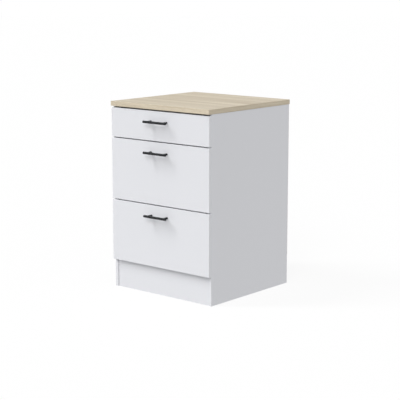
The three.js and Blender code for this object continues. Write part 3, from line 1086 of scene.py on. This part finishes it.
class CABINET_OT_handles(bpy.types.Operator):
    """Make the black bar handles"""

    bl_idname = "cabinet.handles"
    bl_label = "Handles"

    def execute(self, context):
        chosen = settings().handles
        for level in LEVELS:
            node = f"{level}_drawer_handle"
            low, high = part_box(node)
            radius = (high.z - low.z) / 2
            axis = Vector((0.0, low.y + radius, (low.z + high.z) / 2))
            bar = self.bar(axis, high.x, radius)
            post = self.post(high.y - axis.y)
            handle = grown(
                f"{node}_bar",
                bar_handle_tree(),
                black_coating,
                bar=bar,
                post=post,
                count=2,
                first=axis - Vector((chosen.post_spacing / 2, 0.0, 0.0)),
                step=Vector((chosen.post_spacing, 0.0, 0.0)),
            )
            shade_evenly(handle)
            seat(handle, node)
            remove(bar, post)
        return {"FINISHED"}

    def bar(self, axis, half, radius):
        chosen = settings().handles
        corners = [(0, -half), (radius, -half), (radius, half), (0, half)]
        outline = rounded(corners, chosen.end_rounding, END_STEPS)
        return turned_solid("bar", outline, chosen.bar_sides, centre=axis, axis=(1, 0, 0))

    def post(self, reach):
        """A post from the bar's axis to the drawer front, with a small chamfer at its foot."""
        chosen = settings().handles
        radius = chosen.post_radius
        outline = [
            (0, 0),
            (radius, 0),
            (radius, reach - POST_CHAMFER),
            (radius - POST_CHAMFER, reach),
            (0, reach),
        ]
        return turned_solid("post", outline, chosen.post_sides, axis=(0, 1, 0))


# ---- Runners and rollers -----------------------------------------------------------------------

BEND_STEPS = 5
FIRST_SLOT = 71 * MM  # from a side panel's front edge
CARCASS_SLOT_LIFT = 3.5 * MM  # above the drawer box's bottom edge
DRAWER_SLOT_LIFT = 7.5 * MM
SLOT_CUT = 2 * MM  # how far the cutter reaches to either side of the web

PIN_SIDES = 32
PIN_RADIUS = 2.5 * MM
PIN_ROOT = 0.4 * MM  # how deep a pin's collar is let into the web
PIN_PLAY = 0.3 * MM  # between the roller and the pin's collar or head
PIN_HEAD_RADIUS = 4.0 * MM  # of the head and the collar
PIN_HEAD_HEIGHT = 0.8 * MM
PIN_DOME_HEIGHT = 0.3 * MM  # the domed part of the head's height
PIN_DOME_FOOT = 0.92  # the dome's radius at its foot, in head radii
PIN_DOME_TOP = 0.6  # its radius at the top, in head radii

STOP_HEIGHT = 4.3 * MM
STOP_THICKNESS = 2.0 * MM
STOP_BACK = 109.85 * MM  # from a side panel's front edge
STOP_INSET = 1 * MM  # from the track's free edge
STOP_ROOT = 0.1 * MM  # how deep the stop is let into the web

NOTCH_LENGTH = 25.5 * MM  # of the upper flange that is cut away over the roller
NOTCH_DEPTH = 1.5 * MM  # from the middle of the upper flange down
NOTCH_ROOT = 0.05 * MM  # how deep the notch is cut into the web, so that no sliver stays on it
NOTCH_MARGIN = 1 * MM  # how far the cutter reaches past the flange's edges

ROLLER_SIDES = 48
ROLLER_PLAY = 0.3 * MM  # between the pin and the roller's bore
HUB_RADIUS = 4.7 * MM
RIM_RADIUS = 7.9 * MM  # the inner radius of the roller's rim
RECESS_DEPTH = 0.7 * MM
RECESS_SLOPE = 0.3 * MM
TREAD_ROUNDING = 0.6 * MM
TREAD_STEPS = 4


def slot_cutter():
    """A slot with round ends, lying along Y, that cuts through the web."""
    chosen = settings().runners
    half = chosen.slot_length / 2
    radius = chosen.slot_height / 2
    outline = []
    for step in range(2 * BEND_STEPS):
        turn = math.pi * step / (2 * BEND_STEPS - 1) - math.pi / 2
        outline.append((half - radius + radius * math.cos(turn), radius * math.sin(turn)))
    outline += [(-u, -v) for u, v in outline]
    return drawn_solid("slot", outline, along_x, -SLOT_CUT, SLOT_CUT)


def roller_pin(roller, web_face, pointing):
    """The riveted pin: a collar on the web, a shaft through the roller and a domed head past it."""
    low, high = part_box(roller)
    middle = (low + high) / 2
    foot = -abs(web_face - middle.x) - PIN_ROOT
    half = (high.x - low.x) / 2 + PIN_PLAY
    top = half + PIN_HEAD_HEIGHT
    outline = [
        (0, foot),
        (PIN_HEAD_RADIUS, foot),
        (PIN_HEAD_RADIUS, -half),
        (PIN_RADIUS, -half),
        (PIN_RADIUS, half),
        (PIN_HEAD_RADIUS, half),
        (PIN_HEAD_RADIUS * PIN_DOME_FOOT, top - PIN_DOME_HEIGHT),
        (PIN_HEAD_RADIUS * PIN_DOME_TOP, top),
        (0, top),
    ]
    return turned_solid("pin", outline, PIN_SIDES, centre=middle, axis=(pointing, 0, 0))


def pressed_strip(node, section, web, slot_height, **additions):
    """A runner: the bent strip of this section, slotted, with its pin, and its notch and stop if any."""
    chosen = settings().runners
    low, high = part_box(node)
    outline = sheet_outline(rounded(section, chosen.bend, BEND_STEPS), chosen.sheet)
    strip = drawn_solid("strip", outline, along_y, low.y, high.y)
    slot = slot_cutter()
    runner = grown(
        f"{node}_pressed",
        pressed_strip_tree(),
        coated_steel,
        strip=strip,
        slot=slot,
        count=chosen.slot_count,
        first=Vector((web, FRONT_EDGE + FIRST_SLOT, slot_height)),
        step=Vector((0.0, chosen.slot_pitch, 0.0)),
        **additions,
    )
    shade_evenly(runner)
    seat(runner, node)
    remove(strip, slot, *additions.values())


def carcass_runner(level, hand, side):
    chosen = settings().runners
    node = f"{level}_carcass_runner_{hand}"
    low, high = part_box(node)
    half = chosen.sheet / 2
    outer = high.x if side > 0 else low.x
    web = outer - side * half
    inside = web - side * half
    track, ceiling = low.z + half, high.z - half
    section = [
        (outer - side * chosen.track_reach, track),
        (web, track),
        (web, ceiling),
        (outer - side * chosen.ceiling_reach, ceiling),
    ]
    notch = block(
        "notch",
        (inside + side * NOTCH_ROOT, low.y - NOTCH_MARGIN, ceiling - NOTCH_DEPTH),
        (outer - side * (chosen.track_reach + NOTCH_MARGIN), low.y + NOTCH_LENGTH, high.z + NOTCH_MARGIN),
    )
    stop_back = FRONT_EDGE + STOP_BACK
    stop = block(
        "stop",
        (inside + side * STOP_ROOT, stop_back - STOP_THICKNESS, track),
        (outer - side * (chosen.track_reach - STOP_INSET), stop_back, track + half + STOP_HEIGHT),
    )
    pin = roller_pin(f"{level}_carcass_roller_{hand}", inside, -side)
    slot_height = box_bottom(level) + CARCASS_SLOT_LIFT
    pressed_strip(node, section, web, slot_height, pin=pin, notch=notch, stop=stop)


def drawer_runner(level, hand, side):
    chosen = settings().runners
    node = f"{level}_drawer_runner_{hand}"
    low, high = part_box(node)
    half = chosen.sheet / 2
    shelf_edge = low.x if side > 0 else high.x
    near_web = shelf_edge + side * chosen.shelf_reach  # the web's face towards the side panel
    web = near_web - side * half
    shelf, flange = low.z + half, high.z - half
    flange_edge = near_web - side * chosen.sheet + side * chosen.flange_reach
    section = [(shelf_edge, shelf), (web, shelf), (web, flange), (flange_edge, flange)]
    pin = roller_pin(f"{level}_drawer_roller_{hand}", near_web, side)
    pressed_strip(node, section, web, box_bottom(level) + DRAWER_SLOT_LIFT, pin=pin)


class CABINET_OT_runners(bpy.types.Operator):
    """Make the carcass and drawer runners with their roller pins"""

    bl_idname = "cabinet.runners"
    bl_label = "Runners"

    def execute(self, context):
        for level in LEVELS:
            for hand, side in HANDS:
                carcass_runner(level, hand, side)
                drawer_runner(level, hand, side)
        return {"FINISHED"}


class CABINET_OT_rollers(bpy.types.Operator):
    """Make the nylon rollers"""

    bl_idname = "cabinet.rollers"
    bl_label = "Rollers"

    def execute(self, context):
        for level in LEVELS:
            for kind in ("carcass", "drawer"):
                for hand, _ in HANDS:
                    self.roller(f"{level}_{kind}_roller_{hand}")
        return {"FINISHED"}

    def roller(self, node):
        """A moulded wheel with a hub, a recess on each face and a rounded tread."""
        low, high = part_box(node)
        half = (high.x - low.x) / 2
        radius = (high.z - low.z) / 2
        face = [
            (PIN_RADIUS + ROLLER_PLAY, half),
            (HUB_RADIUS, half),
            (HUB_RADIUS + RECESS_SLOPE, half - RECESS_DEPTH),
            (RIM_RADIUS - RECESS_SLOPE, half - RECESS_DEPTH),
            (RIM_RADIUS, half),
        ]
        corners = [(reach, -place) for reach, place in face] + [(radius, -half), (radius, half)] + face[::-1]
        radii = [0.0] * 4 + [TREAD_ROUNDING] * 2 + [0.0] * 4
        outline = rounded(corners, radii, TREAD_STEPS)
        piece = turned_solid(f"{node}_wheel", outline, ROLLER_SIDES, centre=(low + high) / 2, axis=(1, 0, 0))
        piece.data.materials.append(finish_of(nylon))
        shade_evenly(piece)
        seat(piece, node)


# ---- Fasteners ---------------------------------------------------------------------------------
# Each is made at the origin with its head towards +Z, and with height 0 where the head meets the board.

SCREW_SIDES = 20
# The head's outline from the middle outwards, in head radii and head heights
SCREW_DOME = ((0.45, 0.97), (0.78, 0.80), (0.96, 0.48), (1.0, 0.22), (0.98, 0.0))
CROSS_REACH = 0.55  # of a screw's cross recess, in head radii
CROSS_WIDTH = 0.12  # half the width of an arm, in head radii
CROSS_FLOOR = 0.35  # height of the recess's floor, in head heights
CROSS_OVER = 10 * MM  # how far the cutter stands over the recess's floor

CAM_SIDES = 32
CAM_FACE = 0.12 * MM  # height of an eccentric fitting's face over the board
CAM_RIM = 0.3 * MM  # height of the rim
CAM_EDGE = 0.1 * MM  # height of the outer edge
# Its outline from the middle outwards: (share of the radius, height)
CAM_TOP = ((0.0, CAM_FACE), (0.82, CAM_FACE), (0.88, CAM_RIM), (0.97, CAM_RIM), (1.0, CAM_EDGE))
CAM_DEPTH = 2 * MM  # in the board
CAM_CROSS_REACH = 0.5  # of its cross recess, in radii
CAM_CROSS_WIDTH = 0.11  # half the width of an arm, in radii
CAM_CROSS_FLOOR = -1.2 * MM

NAIL_SIDES = 12
NAIL_DOME = ((0.0, 0.5 * MM), (0.7, 0.42 * MM), (1.0, 0.15 * MM), (1.0, 0.0))  # (share of radius, height)
NAIL_SHANK = 0.7 * MM  # radius
NAIL_SHANK_LENGTH = 8 * MM  # without the point
NAIL_POINT = 9 * MM  # from the underside of the head to the point

# Radius and height of the head, radius and length of the shank
RUNNER_SCREW = (3.3 * MM, 1.4 * MM, 1.6 * MM, 13 * MM)
BOX_SCREW = (3.5 * MM, 0.6 * MM, 2.4 * MM, 40 * MM)
MACHINE_HEAD = 2.4 * MM  # height of the heads of the handle and worktop screws
MACHINE_SHANK = 2.0 * MM  # radius of their shanks

WEB_INNER = 1.5 * MM  # from a side panel to the inner face of the carcass runner's web
CARCASS_SCREW_START = 39 * MM  # from a side panel's front edge
CARCASS_SCREW_STEP = 208 * MM
CARCASS_SCREWS = 3
SHELF_SCREW_INSET = 4.6 * MM  # from a drawer box's outer face
SHELF_SCREW_START = 47 * MM  # from a side panel's front edge
SHELF_SCREW_STEP = 135 * MM
SHELF_SCREWS = 4

SHALLOW_BOX = 100 * MM  # a box lower than this has one fitting at each corner, a higher one two
LOWEST_FITTING = 45 * MM  # over the bottom edge of a high box
SHALLOW_CAM = 52 * MM  # over the bottom edge of a shallow box
SHALLOW_SCREW = 48 * MM
FITTING_STEP = 110 * MM  # from one fitting of a corner to the next
CAM_FROM_FRONT = 26 * MM  # from a side panel's front edge
CARCASS_CAM_INSET = 34 * MM  # from a side panel's inner face
# The fittings at each end of these boards: (board, how many, spacing)
CARCASS_CAMS = (("front_rail", 2, 50 * MM), ("rear_rail", 2, 50 * MM), ("bottom_panel", 3, 240 * MM))


def cross_recess(reach, width, floor):
    """A cross that cuts a screwdriver's recess down to this height."""
    outline = []
    for arm in range(4):
        turn = arm * math.pi / 2
        for u, v in ((reach, -width), (reach, width), (width, width)):
            outline.append((u * math.cos(turn) - v * math.sin(turn), u * math.sin(turn) + v * math.cos(turn)))
    return drawn_solid("recess", outline, along_z, floor, floor + CROSS_OVER)


def recessed(body, reach, width, floor):
    """This solid with a cross recess cut in its head."""
    cutter = cross_recess(reach, width, floor)
    modifier = body.modifiers.new("recess", "BOOLEAN")
    modifier.object = cutter
    modifier.operation = "DIFFERENCE"
    modifier.solver = "EXACT"
    settle(body)
    remove(cutter)
    return body


def screw_solid(head_radius, head_height, shank_radius, shank_length):
    """A screw with a domed head and a cross recess."""
    outline = [(0, head_height)]
    outline += [(head_radius * across, head_height * up) for across, up in SCREW_DOME]
    outline += [(shank_radius, 0), (shank_radius, -shank_length + shank_radius), (0, -shank_length)]
    body = turned_solid("screw", outline, SCREW_SIDES)
    return recessed(body, head_radius * CROSS_REACH, head_radius * CROSS_WIDTH, head_height * CROSS_FLOOR)


def cam_solid():
    """The face of an eccentric fitting, set in the board with only its rim proud."""
    radius = settings().fasteners.cam_radius
    outline = [(radius * share, height) for share, height in CAM_TOP]
    outline += [(radius, -CAM_DEPTH), (0, -CAM_DEPTH)]
    body = turned_solid("cam", outline, CAM_SIDES)
    return recessed(body, radius * CAM_CROSS_REACH, radius * CAM_CROSS_WIDTH, CAM_CROSS_FLOOR)


def nail_solid():
    """A nail with a low domed head."""
    radius = settings().fasteners.nail_radius
    outline = [(radius * share, height) for share, height in NAIL_DOME]
    outline += [(NAIL_SHANK, 0), (NAIL_SHANK, -NAIL_SHANK_LENGTH), (0, -NAIL_POINT)]
    return turned_solid("nail", outline, NAIL_SIDES)


def mirrored(first, step, number, facing):
    """A row of fasteners given for the right hand, and its mirror image: the left one comes first."""
    rows = []
    for _, side in HANDS:
        rows.append(((side * first[0], *first[1:]), step, number, (side * facing[0], *facing[1:])))
    return rows


def fastener_rows(name, source, maker, rows):
    """One piece of several rows, each (first place, step, count, direction of the heads)."""
    whole = bmesh.new()
    for index, (first, step, number, facing) in enumerate(rows):
        row = grown(
            "row",
            fastener_row_tree(),
            maker,
            fastener=source,
            count=number,
            first=Vector(first),
            step=Vector(step),
            facing=Vector(facing),
            seed=settings().fasteners.turn_seed + index,
        )
        whole.from_mesh(row.data)
        remove(row)
    return shade_evenly(object_from(whole, name, [maker]))


class CABINET_OT_screws(bpy.types.Operator):
    """Make the screws of the handles and the worktop"""

    bl_idname = "cabinet.screws"
    bl_label = "Handle and Worktop Screws"

    def execute(self, context):
        self.handle_screws()
        self.worktop_screws()
        return {"FINISHED"}

    def handle_screws(self):
        for level in LEVELS:
            nodes = [f"{level}_drawer_handle_screw_{hand}" for hand, _ in HANDS]
            low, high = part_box(nodes[0])
            handle_low, handle_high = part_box(f"{level}_drawer_handle")
            head_base = high.y - MACHINE_HEAD
            source = screw_solid((high.x - low.x) / 2, MACHINE_HEAD, MACHINE_SHANK, head_base - low.y)
            first = Vector(((low.x + high.x) / 2, head_base, (handle_low.z + handle_high.z) / 2))
            row = (first, (-2 * first.x, 0, 0), 2, (0, 1, 0))
            piece = fastener_rows(f"{level}_drawer_handle_screws", source, zinc_steel, [row])
            seat(piece, *nodes)
            remove(source)

    def worktop_screws(self):
        ends = ("front", "rear")
        nodes = [f"worktop_screw_{end}_{hand}" for end in ends for hand, _ in HANDS]
        low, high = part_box(nodes[0])
        head_base = low.z + MACHINE_HEAD
        source = screw_solid((high.x - low.x) / 2, MACHINE_HEAD, MACHINE_SHANK, high.z - head_base)
        rows = []
        for end in ends:
            low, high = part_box(f"worktop_screw_{end}_left")
            middle = (low + high) / 2
            rows.append(((middle.x, middle.y, head_base), (-2 * middle.x, 0, 0), 2, (0, 0, -1)))
        piece = fastener_rows("worktop_screws", source, zinc_steel, rows)
        seat(piece, *nodes)
        remove(source)


class CABINET_OT_fittings(bpy.types.Operator):
    """Make the runner screws, eccentric fittings and box screws"""

    bl_idname = "cabinet.fittings"
    bl_label = "Fittings"

    def execute(self, context):
        self.runner_screws()
        self.eccentric_fittings()
        self.box_screws()
        return {"FINISHED"}

    def runner_screws(self):
        """Screws through the carcass runners' webs, and up through the drawer runners' shelves."""
        source = screw_solid(*RUNNER_SCREW)
        rows = []
        start = FRONT_EDGE + CARCASS_SCREW_START
        for level in LEVELS:
            first = (INNER_FACE - WEB_INNER, start, box_bottom(level) + CARCASS_SLOT_LIFT)
            rows += mirrored(first, (0, CARCASS_SCREW_STEP, 0), CARCASS_SCREWS, (-1, 0, 0))
        self.place("carcass", "carcass_runner_screws", source, zinc_steel, rows)

        for level in LEVELS:
            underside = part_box(f"{level}_drawer_runner_left")[0].z
            first = (BOX_OUTER - SHELF_SCREW_INSET, FRONT_EDGE + SHELF_SCREW_START, underside)
            rows = mirrored(first, (0, SHELF_SCREW_STEP, 0), SHELF_SCREWS, (0, 0, -1))
            self.place(f"{level}_drawer", f"{level}_drawer_runner_screws", source, zinc_steel, rows)
        remove(source)

    def eccentric_fittings(self):
        """Fittings on the inner faces of the drawer sides, and under the rails and the bottom panel."""
        source = cam_solid()
        for level in LEVELS:
            lift, number = self.corner(level, SHALLOW_CAM)
            first = (BOX_INNER, FRONT_EDGE + CAM_FROM_FRONT, box_bottom(level) + lift)
            rows = mirrored(first, (0, 0, FITTING_STEP), number, (-1, 0, 0))
            self.place(f"{level}_drawer", f"{level}_drawer_eccentric_fittings", source, cast_zinc, rows)

        rows = []
        for node, number, step in CARCASS_CAMS:
            low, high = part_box(node)
            start = (low.y + high.y) / 2 - step * (number - 1) / 2
            rows += mirrored((INNER_FACE - CARCASS_CAM_INSET, start, low.z), (0, step, 0), number, (0, 0, -1))
        self.place("carcass", "carcass_eccentric_fittings", source, cast_zinc, rows)
        remove(source)

    def box_screws(self):
        """The screws that hold each box's back between its sides."""
        source = screw_solid(*BOX_SCREW)
        for level in LEVELS:
            low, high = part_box(f"{level}_drawer_back")
            lift, number = self.corner(level, SHALLOW_SCREW)
            first = (BOX_OUTER, (low.y + high.y) / 2, box_bottom(level) + lift)
            rows = mirrored(first, (0, 0, FITTING_STEP), number, (1, 0, 0))
            self.place(f"{level}_drawer", f"{level}_drawer_box_screws", source, zinc_steel, rows)
        remove(source)

    def corner(self, level, shallow_lift):
        """How high the lowest fitting stands at a corner of the box, and how many there are."""
        return (shallow_lift, 1) if box_height(level) < SHALLOW_BOX else (LOWEST_FITTING, 2)

    def place(self, body, name, source, maker, rows):
        seat(fastener_rows(name, source, maker, rows), body=body, slot="zinc_steel")


# ---- Stage -------------------------------------------------------------------------------------

FLOOR_SIDES = 64
LAMPS_ON_FLOOR = 1.2  # how bright the lamps alone make a white floor
WHITE = shade((1, 1, 1))


def seen_directly(tree):
    """1 for a ray from the camera, a mirror-like reflection or a look through glass."""
    path = add_node(tree, "ShaderNodeLightPath").outputs
    either = math_node(tree, "MAXIMUM", path["Is Camera Ray"], path["Is Glossy Ray"])
    return math_node(tree, "MAXIMUM", either, path["Is Transmission Ray"])


class CABINET_OT_stage(bpy.types.Operator):
    """Make the floor, the light and the camera"""

    bl_idname = "cabinet.stage"
    bl_label = "Stage"

    def execute(self, context):
        chosen = settings().stage
        self.floor(chosen)
        self.sky(chosen)
        self.main_light(chosen)
        self.lamp(chosen, "second", chosen.second_strength, chosen.second_height)
        self.lamp(chosen, "rim", chosen.rim_strength, chosen.rim_height)
        self.camera(chosen)
        context.scene.view_settings.view_transform = "Standard"
        return {"FINISHED"}

    def floor(self, chosen):
        shape = bmesh.new()
        bmesh.ops.create_circle(shape, cap_ends=True, segments=FLOOR_SIDES, radius=chosen.floor_size)
        floor = object_from(shape, "floor")
        floor.data.materials.append(self.floor_finish(chosen))

    def floor_finish(self, chosen):
        """White where it is seen, with the object's shadow kept, and a plain pale floor for the light."""
        material = bpy.data.materials.new("floor" + FINISH_ENDING)
        tree = emptied(material)
        plain = output_of(tree, "ShaderNodeEmission", {"Strength": chosen.floor_strength})
        glow_strength = 1.0 - chosen.floor_shadow * LAMPS_ON_FLOOR
        glow = output_of(tree, "ShaderNodeEmission", {"Strength": glow_strength})
        grey = shade([chosen.floor_shadow] * 3)
        shadowed = output_of(tree, "ShaderNodeBsdfDiffuse", {"Color": grey})
        seen = output_of(tree, "ShaderNodeAddShader", {0: glow, 1: shadowed})
        mixed = output_of(tree, "ShaderNodeMixShader", {0: seen_directly(tree), 1: plain, 2: seen})
        add_node(tree, "ShaderNodeOutputMaterial", {"Surface": mixed})
        return material

    def sky(self, chosen):
        """Even light from all around, a broad soft one high up on the right, and white where it is seen."""
        world = bpy.data.worlds.new("studio_light")
        bpy.context.scene.world = world
        tree = emptied(world)
        direction = add_node(tree, "ShaderNodeTexCoord").outputs["Generated"]
        rise = add_node(tree, "ShaderNodeSeparateXYZ", {0: direction}).outputs["Z"]
        foot, full = math.sin(chosen.broad_low), math.sin(chosen.broad_full)
        above = remap(tree, rise, foot, full, kind="SMOOTHSTEP")
        towards = (-math.sin(chosen.broad_heading), -math.cos(chosen.broad_heading), 0.0)
        inputs = {0: direction, 1: towards}
        ahead = add_node(tree, "ShaderNodeVectorMath", inputs, operation="DOT_PRODUCT").outputs["Value"]
        edge, middle = math.cos(chosen.broad_edge), math.cos(chosen.broad_middle)
        within = remap(tree, ahead, edge, middle, kind="SMOOTHSTEP")
        least = chosen.broad_least - chosen.sky_strength
        broad = math_node(tree, "MULTIPLY_ADD", above, chosen.broad_strength, least)
        strength = math_node(tree, "MULTIPLY_ADD", broad, within, chosen.sky_strength)
        light = output_of(tree, "ShaderNodeBackground", {"Color": WHITE, "Strength": strength})
        white = output_of(tree, "ShaderNodeBackground", {"Color": WHITE, "Strength": 1.0})
        mixed = output_of(tree, "ShaderNodeMixShader", {0: seen_directly(tree), 1: light, 2: white})
        add_node(tree, "ShaderNodeOutputWorld", {"Surface": mixed})

    def main_light(self, chosen):
        """A tall, narrow soft light, made of lamps stacked up far away to the left of the front."""
        for step in range(chosen.main_steps):
            share = step / max(chosen.main_steps - 1, 1)
            height = chosen.main_low + (chosen.main_high - chosen.main_low) * share
            self.lamp(chosen, "main", chosen.main_strength / chosen.main_steps, height)

    def lamp(self, chosen, kind, strength, height):
        """One soft lamp of this kind, far away at this height angle."""
        light = bpy.data.lights.new(f"{kind}_light", "SUN")
        light.energy = strength
        light.angle = getattr(chosen, f"{kind}_width")
        lamp = bpy.data.objects.new(f"{kind}_light", light)
        lamp.rotation_euler = (math.pi / 2 - height, 0.0, -getattr(chosen, f"{kind}_heading"))
        bpy.context.scene.collection.objects.link(lamp)

    def camera(self, chosen):
        lens = bpy.data.cameras.new("camera")
        lens.lens = chosen.camera_lens
        camera = bpy.data.objects.new("camera", lens)
        camera.location = chosen.camera_place
        camera.rotation_euler = (math.pi / 2 - chosen.camera_dip, 0.0, chosen.camera_heading)
        bpy.context.scene.collection.objects.link(camera)
        bpy.context.scene.camera = camera


# ---- The add-on --------------------------------------------------------------------------------

SETTINGS = (
    BoardSettings,
    WorktopSettings,
    HandleSettings,
    RunnerSettings,
    FastenerSettings,
    StageSettings,
    CabinetSettings,
)
OPERATORS = (
    CABINET_OT_carcass_boards,
    CABINET_OT_worktop,
    CABINET_OT_back_panel,
    CABINET_OT_drawer_fronts,
    CABINET_OT_drawer_boxes,
    CABINET_OT_handles,
    CABINET_OT_runners,
    CABINET_OT_rollers,
    CABINET_OT_screws,
    CABINET_OT_fittings,
    CABINET_OT_stage,
)


class CABINET_PT_sidebar(bpy.types.Panel):
    """Lists what makes the cabinet, in the order in which it is made"""

    bl_idname = "CABINET_PT_sidebar"
    bl_label = "Base Cabinet"
    bl_space_type = "VIEW_3D"
    bl_region_type = "UI"
    bl_category = "Cabinet"

    def draw(self, context):
        for operator in OPERATORS:
            self.layout.operator(operator.bl_idname)
        for name in CabinetSettings.__annotations__:
            group = getattr(context.scene.cabinet, name)
            box = self.layout.box()
            box.label(text=name.title())
            for key in group.__annotations__:
                box.prop(group, key)


CLASSES = SETTINGS + OPERATORS + (CABINET_PT_sidebar,)


def register():
    for each in CLASSES:
        bpy.utils.register_class(each)
    bpy.types.Scene.cabinet = PointerProperty(type=CabinetSettings)


def unregister():
    del bpy.types.Scene.cabinet
    for each in reversed(CLASSES):
        bpy.utils.unregister_class(each)


def main():
    register()
    for operator in OPERATORS:
        family, name = operator.bl_idname.split(".")
        getattr(getattr(bpy.ops, family), name)()


if __name__ == "__main__":
    main()
